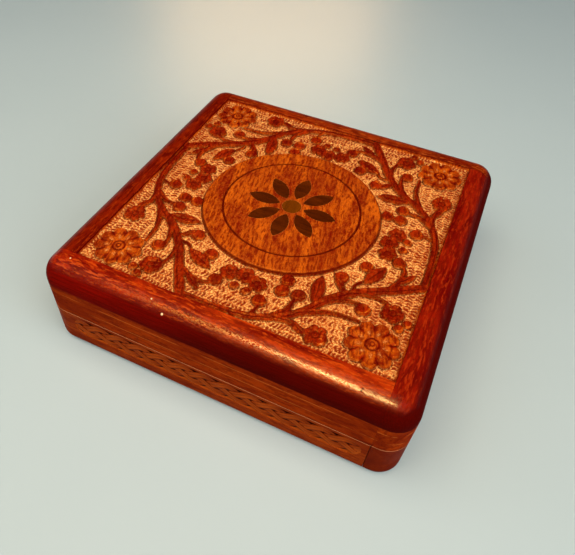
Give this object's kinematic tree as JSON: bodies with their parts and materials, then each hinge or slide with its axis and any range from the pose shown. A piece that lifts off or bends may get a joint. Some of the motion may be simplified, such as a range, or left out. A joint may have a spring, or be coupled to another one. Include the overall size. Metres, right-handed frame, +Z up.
{
  "type": "wooden puzzle box",
  "caption": "Low square carved wooden trick box with a hinged lid, an inlaid flower medallion and a braid-carved front that slides aside to reach a hidden bolt.",
  "frame": {"origin": "centre of the flat underside", "axes": "+Z up; +X to the right along the carved front; the front faces -Y and the hinges are at +Y"},
  "size_m": [0.152, 0.152, 0.0443],
  "materials": {
    "carved_wood": "carved and varnished, light ground, red-brown tops",
    "border_wood": "dark red-brown gloss varnish",
    "base_wood": "brown varnish, worn satin",
    "inner_wood": "bare planed wood",
    "board_wood": "bare thin board",
    "dark_inlay": "dark polished inlay",
    "olive_inlay": "olive-brown polished inlay",
    "brass": "dull brass",
    "steel": "plain steel wire"
  },
  "bodies": {
    "base": {"base_floor": "board_wood", "base_back_wall": "base_wood", "base_left_wall": "base_wood", "base_right_wall": "base_wood", "base_front_liner": "inner_wood", "slide_rail": "inner_wood", "slide_stop_pin": "steel", "lock_block": "inner_wood", "bolt_plate": "brass", "bolt_plate_screws": "brass", "hinge_left_base_leaf": "brass", "hinge_right_base_leaf": "brass", "hinge_left_pin": "steel", "hinge_right_pin": "steel", "base_hinge_screws": "brass", "floor_nails": "steel"},
    "lid": {"lid_panel": "carved_wood", "lid_front_wall": "border_wood", "lid_right_wall": "border_wood", "lid_back_wall": "border_wood", "lid_left_wall": "border_wood", "inlay_petals": "dark_inlay", "inlay_centre": "olive_inlay", "lid_catch": "brass", "lid_catch_screws": "brass", "hinge_left_lid_leaf": "brass", "hinge_right_lid_leaf": "brass", "lid_hinge_screws": "brass"},
    "slider": {"front_slider": "base_wood"},
    "bolt": {"lock_bolt": "brass", "bolt_knob": "brass"}
  },
  "joints": [
    {"name": "lid_hinge", "type": "hinge", "parent": "base", "child": "lid", "pos_m": [0, 0.0737, 0.0205], "axis": [-1, 0, 0], "range_deg": [0, 95]},
    {"name": "front_slide", "type": "slide", "parent": "base", "child": "slider", "axis": [-1, 0, 0], "range_m": [0, 0.028]},
    {"name": "bolt_slide", "type": "slide", "parent": "base", "child": "bolt", "axis": [-1, 0, 0], "range_m": [0, 0.007]}
  ]
}
